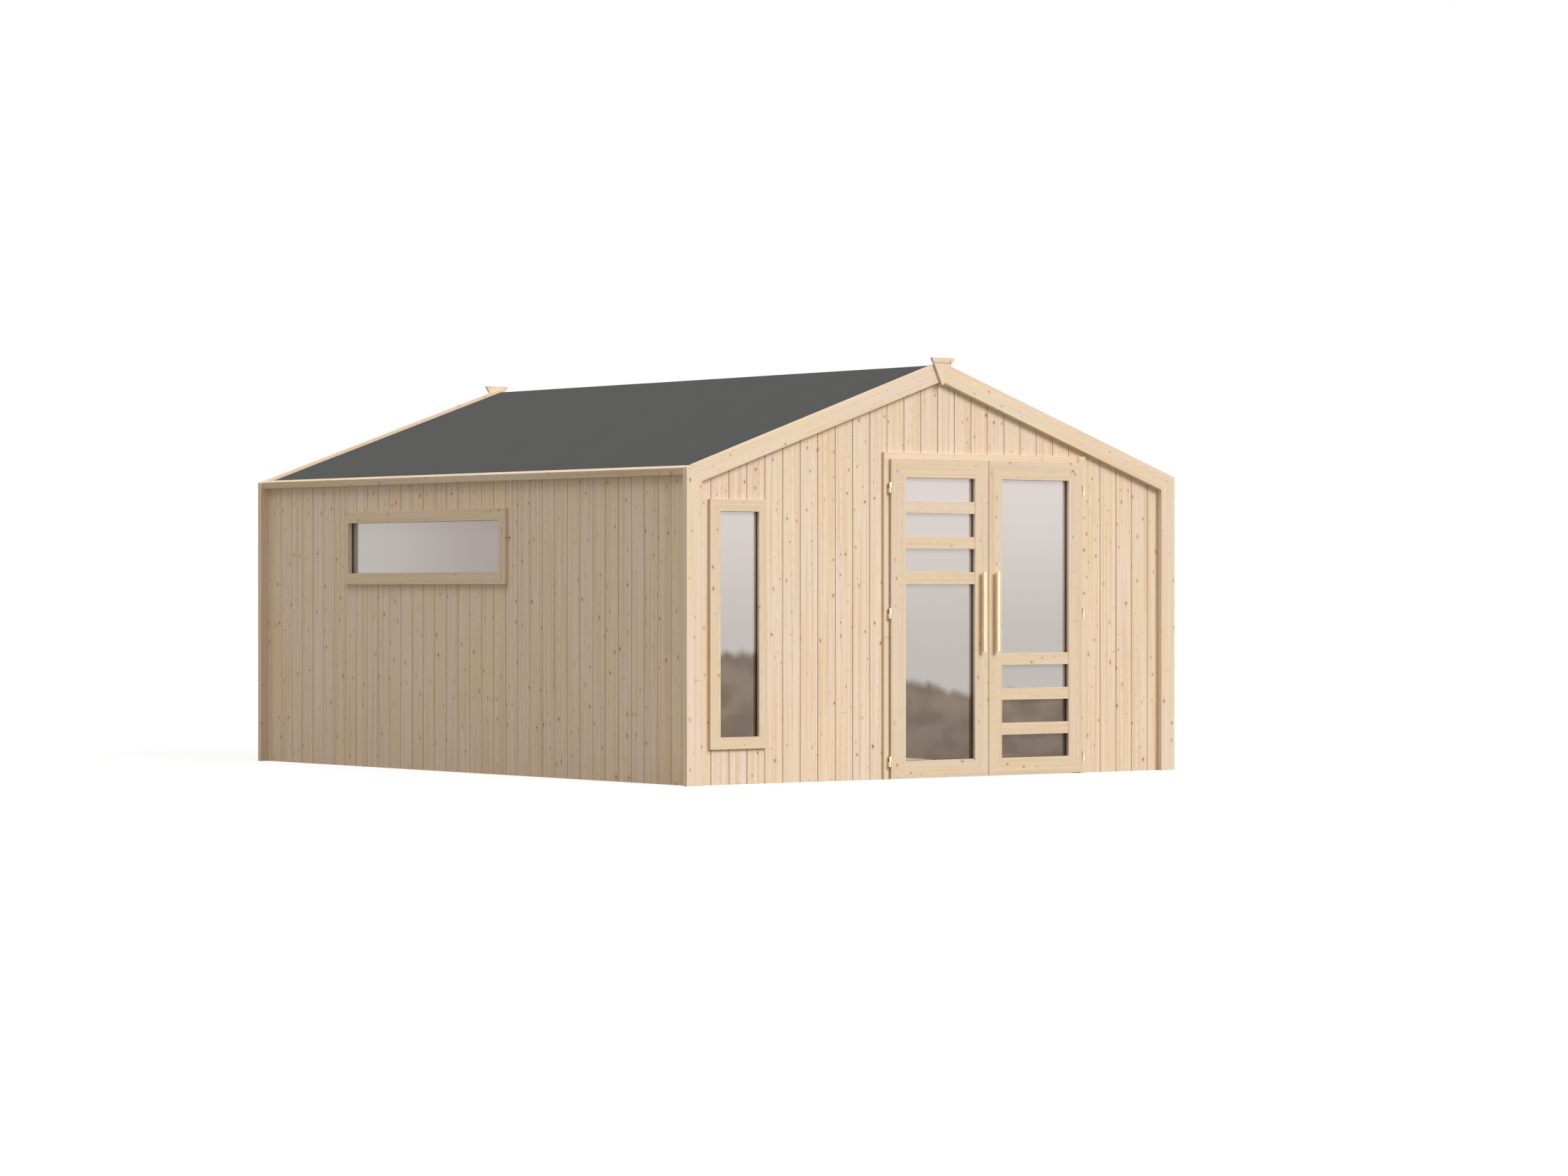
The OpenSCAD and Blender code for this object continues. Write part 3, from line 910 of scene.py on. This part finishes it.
def roof_covering():
    timber = Timber()
    ridge = slope_length - felt_top * math.tan(pitch)
    tone = grain((0, 1, 0), (1, 0, 0), (0, 0, 0))[1]
    reach = [felt_start + (ridge - felt_start) * k / felt_steps for k in range(felt_steps + 1)]
    line = [(-1, u) for u in reach] + [(1, u) for u in reach[::-1]][1:]
    rows = []
    for depth in (felt_top, felt_under):
        for run in range(felt_runs + 1):
            y = roof_low + (roof_high - roof_low) * run / felt_runs
            row = []
            for side, u in line:
                bulge = felt_wave * (1 + math.sin(u * 9 + y * 2.3) * math.cos(y * 5.1 - u))
                x, z = slope_point(side, u, felt_top + bulge if depth == felt_top else depth)
                row.append(len(timber.points))
                timber.points.append(Vector((x, y, z)))
                timber.wood.append(Vector((u, y, depth)))
                timber.tones.append(tone)
                timber.grooves.append(0.0)
            rows.append(row)
    skin = felt_runs + 1
    for start in (0, skin):
        for a, b in zip(rows[start:start + skin], rows[start + 1:start + skin]):
            timber.faces += [(a[i], a[i + 1], b[i + 1], b[i]) for i in range(len(line) - 1)]
    for top, low in ((rows[0], rows[skin]), (rows[skin - 1], rows[-1])):
        timber.faces += [(top[i], top[i + 1], low[i + 1], low[i]) for i in range(len(line) - 1)]
    for i in (0, len(line) - 1):
        for k in range(felt_runs):
            timber.faces.append((rows[k][i], rows[k + 1][i], rows[skin + k + 1][i],
                                 rows[skin + k][i]))
    timber.piece("roof_felt_sheet", felt_finish, "shed", ["roof_felt"], 30)


roof_covering()

# %% [markdown]
# ## Studs, rails and beams
# The framing is sawn timber. Each stud and rail is rebuilt as its own board from the box of
# its solid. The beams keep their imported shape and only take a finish.


# %% Framing
def framing(node):
    timber = Timber()
    for low, high in islands(node):
        plank(timber, low, high)
    timber.piece(node + "_boards", sawn_spruce, "shed", [node])


for node in ("wall_studs", "side_wall_rails", "rear_wall_rails", "front_wall_rails"):
    framing(node)
beams = frame["nodes"]["roof_beams"]
beams.data.materials.clear()
beams.data.materials.append(beam_spruce)

# %% [markdown]
# ## Door lining
# Each jamb is one board with a stop planted on it, which the closed leaf meets.


# %% Jambs and head
def jamb(node, inner_first):
    xs, ys, zs = (levels(node, axis) for axis in range(3))
    stop, face, back = (xs[0], xs[1], xs[2]) if inner_first else (xs[2], xs[1], xs[0])
    timber = Timber()
    plank(timber, (min(face, back), ys[0], zs[0]), (max(face, back), ys[-1], zs[-1]), arris)
    plank(timber, (min(stop, face), ys[1], zs[0]), (max(stop, face), ys[-1], zs[1]))
    timber.piece(node + "_board", planed_spruce, "shed", [node])


jamb("door_jamb_left", False)
jamb("door_jamb_right", True)


def head():
    xs, ys, zs = (levels("door_head", axis) for axis in range(3))
    timber = Timber()
    plank(timber, (xs[0], ys[0], zs[1]), (xs[-1], ys[-1], zs[2]), arris)
    plank(timber, (xs[1], ys[1], zs[0]), (xs[2], ys[-1], zs[1]))
    timber.piece("door_head_board", planed_spruce, "shed", ["door_head"])


head()

# %% [markdown]
# ## Mitred frames
# Window casings and door leaves are four boards that meet in mitres. Each board has one
# section along its length, given as points of (distance in from the outer edge, depth). Its
# ends are cut along the line from the outer corner to the inner one, so the mitre also works
# where the boards differ in width.


# %% The mitred frame
def mitred(timber, outer, inner, low, high, place, right, up, edge=arris, sections=None,
           clip=None):
    """Boards between two rectangles (u0, v0, u1, v1). place(u, v, depth) is the point, and
    clip(u, v, depth) may hold back the end of a board."""
    inward = [inner[0] - outer[0], inner[1] - outer[1], outer[2] - inner[2], outer[3] - inner[3]]
    for k, name in enumerate(("left", "bottom", "right", "top")):
        width = inward[k]
        section = (sections or {}).get(name) or rectangle(0, low, width, high)
        before, after = inward[(k + 1) % 2], inward[(k + 1) % 2 + 2]
        sign = 1 if k < 2 else -1
        start, end = outer[(k + 1) % 2], outer[(k + 1) % 2 + 2]

        def at(a, d, w, k=k, sign=sign):
            across = outer[k] + sign * a
            return place(across, w, d) if k % 2 == 0 else place(w, across, d)

        def first(a, d, width=width, before=before, start=start, k=k):
            w = start + a * before / width
            return clip(w, d) if clip and k % 2 == 1 else w

        def final(a, d, width=width, after=after, end=end, k=k):
            w = end - a * after / width
            return clip(w, d) if clip and k % 2 == 1 else w

        along, across = (up, right) if k % 2 == 0 else (right, up)
        middle = at(width / 2, (low + high) / 2, (start + end) / 2)
        timber.add(ease_corners(section, edge), at, first, final, grain(along, across, middle))


def shrink(box, by):
    return (box[0] + by, box[1] + by, box[2] - by, box[3] - by)


x_axis, y_axis, z_axis = Vector((1, 0, 0)), Vector((0, 1, 0)), Vector((0, 0, 1))

# %% [markdown]
# ## Glazing
# A pane sits against a dark seal, and a dark bead behind holds it. From outside the seal
# shows as a dark line between the pane and the wood.


# %% A pane with its seal
pane_play = 0.0005
pane_corner = 0.001
pane_edge = 0.0006
seal_depth = 0.010
seal_lip = 0.0009
seal_play = 0.0001
seal_gap = 0.0002
seal_arris = 0.0002
bead = 0.002
bead_corner = 0.001


def glaze(name, pane_node, body, axis, room):
    """axis is the pane's thin direction, 1 for the front and 0 for the side; room is how far
    the bead reaches behind the pane."""
    low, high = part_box(pane_node)
    flat = 0 if axis == 1 else 1
    pane = (low[flat], low.z, high[flat], high.z)

    def place(u, v, d):
        return (u, d, v) if axis == 1 else (d, u, v)

    right = x_axis if axis == 1 else y_axis
    face, back = low[axis], high[axis]
    glass = Timber()
    glass.add(ease_corners(rectangle(*shrink(pane, pane_play)), pane_corner), place, face, back,
              grain(z_axis, right, (0, 0, 0)), pane_edge)
    glass.piece(name + "_pane", glass_finish, body, [pane_node])
    seal = Timber()
    outer = shrink(pane, seal_play)
    mitred(seal, outer, shrink(pane, seal_lip), face - seal_depth, face - seal_gap, place,
           right, z_axis, seal_arris)
    mitred(seal, outer, shrink(pane, bead), back + seal_gap, back + room, place, right,
           z_axis, bead_corner)
    seal.piece(name + "_seal", seal_finish, body)


# %% [markdown]
# ## Windows
# A casing lies on the cladding and covers the edge of a lining that runs through the wall.


# %% Windows
bead_reach = 0.014
lining_arris = 0.001


def window(name, node, pane_node, lining_box, axis):
    flat = 0 if axis == 1 else 1
    depths, us, zs = levels(node, axis), levels(node, flat), levels(node, 2)
    low, high = lining_box
    pane_low, pane_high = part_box(pane_node)
    opening = (pane_low[flat], pane_low.z, pane_high[flat], pane_high.z)

    def place(u, v, d):
        return (u, d, v) if axis == 1 else (d, u, v)

    right = x_axis if axis == 1 else y_axis
    timber = Timber()
    mitred(timber, (us[0], zs[0], us[-1], zs[-1]), opening, depths[0], depths[1], place, right,
           z_axis)
    timber.piece(name + "_casing", joinery_spruce, "shed", [node])
    mitred(linings, (low[flat], low.z, high[flat], high.z), opening, low[axis], high[axis],
           place, right, z_axis, lining_arris)
    glaze(name, pane_node, "shed", axis, bead_reach)


# %% [markdown]
# Both linings go into one mesh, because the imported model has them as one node.

# %% The two windows
linings = Timber()
side_lining, front_lining = islands("window_linings")
window("front_window", "front_window_frame", "front_window_glass", front_lining, 1)
window("side_window", "side_window_frame", "side_window_glass", side_lining, 0)
linings.piece("window_lining_boards", joinery_spruce, "shed", ["window_linings"])

# %% [markdown]
# ## Door leaves
# A leaf is a mitred frame round one pane, with three crossbars, high on the left leaf and
# low on the right one. At its top and hinge edge a thin lip laps over the jamb and hides the
# gap. The meeting edge is bevelled, so that one leaf swings clear of the other, and the
# right leaf has a small chamfer there.


# %% Leaves
meeting_chamfer = 0.005
bead_play = 0.0005


def leaf(side):
    body = f"{side}_door"
    node = f"{side}_door_frame"
    low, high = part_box(node)
    pane_low, pane_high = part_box(f"{side}_door_glass")
    thick = high.y - low.y
    rise = levels(node, 2)
    lip = rise[-1] - rise[-2]
    lip_back = levels(node, 1)[-2] - low.y
    back = [p[0] for p in corners(node) if abs(p[1] - high.y) < touching]
    bevel = high.x - max(back) if side == "left" else min(back) - low.x
    outer = (low.x, low.z, high.x, high.z)
    inner = (pane_low.x, pane_low.z, pane_high.x, pane_high.z)
    hinge_side, free_side = (side, "right") if side == "left" else (side, "left")
    widths = {"left": inner[0] - outer[0], "right": outer[2] - inner[2],
              "top": outer[3] - inner[3]}

    def lipped(width):
        return [(0, 0), (width, 0), (width, thick), (lip, thick), (lip, lip_back),
                (0, lip_back)]

    chamfer = 0.0 if side == "left" else meeting_chamfer
    sections = {"top": lipped(widths["top"]), hinge_side: lipped(widths[hinge_side]),
                free_side: [(0, chamfer), (chamfer, 0), (widths[free_side], 0),
                            (widths[free_side], thick), (bevel, thick)],
                "bottom": rectangle(0, 0, inner[1] - outer[1], thick)}

    def clip(u, depth):
        rebate = lip if depth > lip_back - 1e-6 else 0.0
        slant = bevel * depth / thick
        left_limit, right_limit = (rebate, slant) if side == "left" else (slant, rebate)
        return min(max(u, outer[0] + left_limit), outer[2] - right_limit)

    timber = Timber()
    mitred(timber, outer, inner, 0, thick, lambda u, v, d: (u, low.y + d, v), x_axis, z_axis,
           arris, sections, clip)
    timber.piece(f"{side}_leaf_frame", joinery_spruce, body, [node])
    bars = Timber()
    for bar_low, bar_high in islands(f"{side}_door_bars"):
        plank(bars, bar_low, bar_high)
    bars.piece(f"{side}_leaf_bars", joinery_spruce, body, [f"{side}_door_bars"])
    glaze(f"{side}_leaf", f"{side}_door_glass", body, 1, high.y - pane_high.y - bead_play)


leaf("left")
leaf("right")

# %% [markdown]
# ## Turned brass
# Handles, their feet and the hinge barrels are turned on a lathe, so each is a profile of
# (distance along the axis, radius) points spun round the axis.

# %% The lathe
spin = 40


def turned(timber, start, direction, profile, segments=spin):
    direction = Vector(direction).normalized()
    side = direction.orthogonal().normalized()
    other = direction.cross(side)
    first = len(timber.points)
    for along, radius in profile:
        for k in range(segments):
            angle = 2 * math.pi * k / segments
            ring = side * math.cos(angle) + other * math.sin(angle)
            timber.points.append(Vector(start) + direction * along + ring * radius)
            timber.wood.append(Vector())
            timber.tones.append(0.5)
            timber.grooves.append(0.0)
    for row in range(len(profile) - 1):
        for k in range(segments):
            n = (k + 1) % segments
            a, b = first + row * segments, first + (row + 1) * segments
            timber.faces.append((a + k, a + n, b + n, b + k))
    last = first + (len(profile) - 1) * segments
    timber.faces.append(tuple(first + k for k in reversed(range(segments))))
    timber.faces.append(tuple(last + k for k in range(segments)))


def rounded_rod(length, radius, ease):
    """A rod's profile, with quarter-round ends."""
    turns = [math.radians(90 * k / 4) for k in range(5)]
    start = [(ease * (1 - math.sin(t)), radius - ease * (1 - math.cos(t))) for t in turns]
    start = start[::-1]
    return start + [(length - along, r) for along, r in start[::-1]]


# %% [markdown]
# A handle is a bar on two short necks. Each neck stands on a flange against the leaf.

# %% Handles
flange = 0.0115
flange_ease = 0.0006
flange_thick = 0.0028
neck_fillet = 0.0004
bar_ease = 0.0015


def handle(side):
    node = f"{side}_door_handle"
    low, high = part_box(node)
    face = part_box(f"{side}_door_frame")[0].y
    radius = (high.x - low.x) / 2
    x, axis_y = (low.x + high.x) / 2, low.y + radius
    brass = Timber()
    turned(brass, (x, axis_y, low.z), (0, 0, 1), rounded_rod(high.z - low.z, radius, bar_ease))
    feet = sorted(p[2] for p in corners(node) if abs(p[1] - face) < touching)
    middle = (low.z + high.z) / 2
    for foot in ([z for z in feet if z < middle], [z for z in feet if z > middle]):
        z = (foot[0] + foot[-1]) / 2
        neck = (foot[-1] - foot[0]) / 2
        reach = face - axis_y - radius * 0.5
        profile = [(0, flange - flange_ease), (flange_ease, flange), (flange_thick, flange),
                   (0.0036, neck + neck_fillet), (0.005, neck), (reach, neck)]
        turned(brass, (x, face, z), (0, -1, 0), profile, 32)
    brass.piece(f"{side}_handle_bar", brass_finish, f"{side}_door", [node], 35)


handle("left")
handle("right")

# %% [markdown]
# ## Hinges
# One knuckle turns with the leaf and the other, with the pin, stays on the jamb. The moving
# plate lies in the edge of the leaf's lip, held by two screws.


# %% Knuckles, pins and screws
metal_arris = 0.0004
half_joint = 0.0003
knuckle_ease = 0.0009
pin_tip = 0.004
pin_profile = [(0, 0.003), (0.003, 0.003), (0.0038, 0.002), (pin_tip, 0.001)]
screw_profile = [(0, 0.0032), (0.0003, 0.0032), (0.0006, 0.0024), (0.0008, 0.001)]


def pin_line(side):
    return [j for j in frame["joints"] if j["child"] == f"{side}_door"][0]["pos_m"][0]


def knuckle(brass, x, y, low, high, radius):
    turned(brass, (x, y, low), (0, 0, 1), rounded_rod(high - low, radius, knuckle_ease), 32)


def upright_bar(brass, outline_points, low, high):
    """A small block of brass with its outline seen from above."""
    brass.add(outline_points, lambda u, v, w: (u, v, w), low, high,
              grain(z_axis, x_axis, (0, 0, 0)), metal_arris)


# %% The hinges' fixed parts
plate_corner = 0.002
plate_thick = 0.002
plate_reach = 0.010
web_thick = 0.003
web_inset = (0.0005, 0.001)


def fixed_hinges():
    fixed = Timber()
    for low, high in islands("hinge_plates"):
        side = "left" if low.x < 0 else "right"
        turn = 1 if side == "left" else -1
        pin_x, pin_y = pin_line(side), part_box(f"{side}_door_frame")[0].y
        radius = pin_y - low.y
        middle = (low.z + high.z) / 2
        knuckle(fixed, pin_x, pin_y, low.z, middle - half_joint, radius)
        turned(fixed, (pin_x, pin_y, high.z - pin_tip), (0, 0, 1), pin_profile, 16)
        edge = pin_x - turn * radius
        x0, x1 = sorted((edge, edge + turn * plate_reach))
        fixed.add(ease_corners(rectangle(x0, low.z, x1, high.z), plate_corner),
                  lambda u, v, w: (u, w, v), high.y - plate_thick, high.y,
                  grain(z_axis, x_axis, (0, 0, 0)), metal_arris)
        x0, x1 = sorted((edge, edge + turn * web_thick))
        upright_bar(fixed, rectangle(x0, pin_y, x1, high.y), low.z + web_inset[0],
                    middle - web_inset[1])
    fixed.piece("hinge_fixed_parts", brass_finish, "shed", ["hinge_plates"], 35)


fixed_hinges()

# %% The hinges' moving parts
screw_in = 0.012
screw_deep = 0.007
plate_proud = 0.0003
plate_sunk = 0.002
arm_thick = 0.003
arm_inset = 0.0005


def moving_hinges(side):
    moving = Timber()
    pin_x = pin_line(side)
    turn = 1 if side == "left" else -1
    leaf_low, leaf_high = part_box(f"{side}_door_frame")
    face = leaf_low.y
    edge_x = leaf_low.x if side == "left" else leaf_high.x
    outside, inside = edge_x - turn * plate_proud, edge_x + turn * plate_sunk
    for low, high in islands(f"{side}_door_hinges"):
        middle = (low.z + high.z) / 2
        knuckle(moving, pin_x, face, middle + half_joint, high.z, face - low.y)
        for z in (low.z + screw_in, high.z - screw_in):
            turned(moving, (outside, face + screw_deep, z), (-turn, 0, 0), screw_profile, 16)
        arm = ((pin_x, low.y), (inside, low.y + arm_thick), middle + arm_inset,
               high.z - arm_inset)
        plate = ((outside, low.y), (inside, high.y), low.z, high.z)
        for (xa, ya), (xb, yb), bottom, top in (arm, plate):
            shape = rectangle(min(xa, xb), ya, max(xa, xb), yb)
            upright_bar(moving, ease_corners(shape, metal_arris), bottom, top)
    moving.piece(f"{side}_hinge_leaves", brass_finish, f"{side}_door",
                 [f"{side}_door_hinges"], 35)


moving_hinges("left")
moving_hinges("right")

# %% [markdown]
# ## Camera
# A long lens far away keeps the upright edges parallel. It stands at chest height and sees
# the front and the left wall.

# %% Camera
lens = 101.03
camera_from_front = (-17.803, -21.363, 1.199)
camera_turn = -37.757
camera_data = bpy.data.cameras.new("camera")
camera_data.lens = lens
camera_data.sensor_width = 36
camera = bpy.data.objects.new("camera", camera_data)
bpy.context.scene.collection.objects.link(camera)
camera.location = Vector((0, post_low.y, 0)) + Vector(camera_from_front)
camera.rotation_euler = (math.radians(90), 0, math.radians(camera_turn))
bpy.context.scene.camera = camera

# %% [markdown]
# ## Studio
# The floor is pale and plain. To the camera it also glows a little, so that it runs out to
# white and still keeps the shed's soft shadow.

# %% Floor
floor_half = 60.0
floor_gray = 0.28
seen_gray = 0.36
floor_glow = 0.72
floor_outline = rectangle(-floor_half, -floor_half, floor_half, floor_half)
floor_mesh = bpy.data.meshes.new("floor")
floor_mesh.from_pydata([(x, y, 0) for x, y in floor_outline], [], [(0, 1, 2, 3)])
floor = bpy.data.objects.new("floor", floor_mesh)
bpy.context.scene.collection.objects.link(floor)
f = Finish("studio_floor", (0.8, 0.8, 0.8))
rays = f.node("ShaderNodeLightPath")
seen = rays.out("Is Camera Ray").maths("MAXIMUM", rays.out("Is Camera Ray"),
                                       rays.out("Is Glossy Ray"))
seen = seen.maths("MAXIMUM", seen, rays.out("Is Transmission Ray"))
plain = f.node("ShaderNodeBsdfDiffuse", {}, {"Color": (floor_gray,) * 3 + (1,)})
pale = f.node("ShaderNodeBsdfDiffuse", {}, {"Color": (seen_gray,) * 3 + (1,)})
glow = f.node("ShaderNodeEmission", {}, {"Color": (1, 1, 1, 1), "Strength": floor_glow})
bright = f.node("ShaderNodeAddShader", {}, {0: pale, 1: glow})
floor_mesh.materials.append(f.surface(f.node("ShaderNodeMixShader", {},
                                             {0: seen, 1: plain, 2: bright})))

# %% [markdown]
# The world fills the shade with a faintly warm light, and shows as plain white behind the
# shed and in its glass and brass. Two wide suns draw soft shadows: a key lamp from the front
# right, and a weaker one from high on the left.

# %% World
ambient_color = (1, 0.98, 0.89, 1)
ambient_strength = 0.434
world = bpy.data.worlds.new("studio")
bpy.context.scene.world = world
world.use_nodes = True
world.node_tree.nodes.clear()
nodes, links = world.node_tree.nodes, world.node_tree.links
path = nodes.new("ShaderNodeLightPath")
most = nodes.new("ShaderNodeMath")
most.operation = "MAXIMUM"
links.new(path.outputs["Is Camera Ray"], most.inputs[0])
links.new(path.outputs["Is Glossy Ray"], most.inputs[1])
either = nodes.new("ShaderNodeMath")
either.operation = "MAXIMUM"
links.new(most.outputs[0], either.inputs[0])
links.new(path.outputs["Is Transmission Ray"], either.inputs[1])
ambient = nodes.new("ShaderNodeBackground")
ambient.inputs["Color"].default_value = ambient_color
ambient.inputs["Strength"].default_value = ambient_strength
backdrop = nodes.new("ShaderNodeBackground")
backdrop.inputs["Color"].default_value = (1, 1, 1, 1)
backdrop.inputs["Strength"].default_value = 1.0
blend = nodes.new("ShaderNodeMixShader")
links.new(either.outputs[0], blend.inputs[0])
links.new(ambient.outputs[0], blend.inputs[1])
links.new(backdrop.outputs[0], blend.inputs[2])
shown = nodes.new("ShaderNodeOutputWorld")
links.new(blend.outputs[0], shown.inputs["Surface"])


# %% Lamps
def soft_sun(name, strength, azimuth, elevation, angle):
    """A lamp that shines from an azimuth, where 0 is the front and 90 the right side."""
    data = bpy.data.lights.new(name, "SUN")
    data.energy = strength
    data.angle = math.radians(angle)
    lamp = bpy.data.objects.new(name, data)
    bpy.context.scene.collection.objects.link(lamp)
    lamp.rotation_euler = (math.radians(90 - elevation), 0, math.radians(azimuth))


soft_sun("key", strength=2.55, azimuth=20, elevation=35, angle=30)
soft_sun("top", strength=1.0, azimuth=-90, elevation=65, angle=35)
bpy.context.scene.view_settings.view_transform = "Standard"
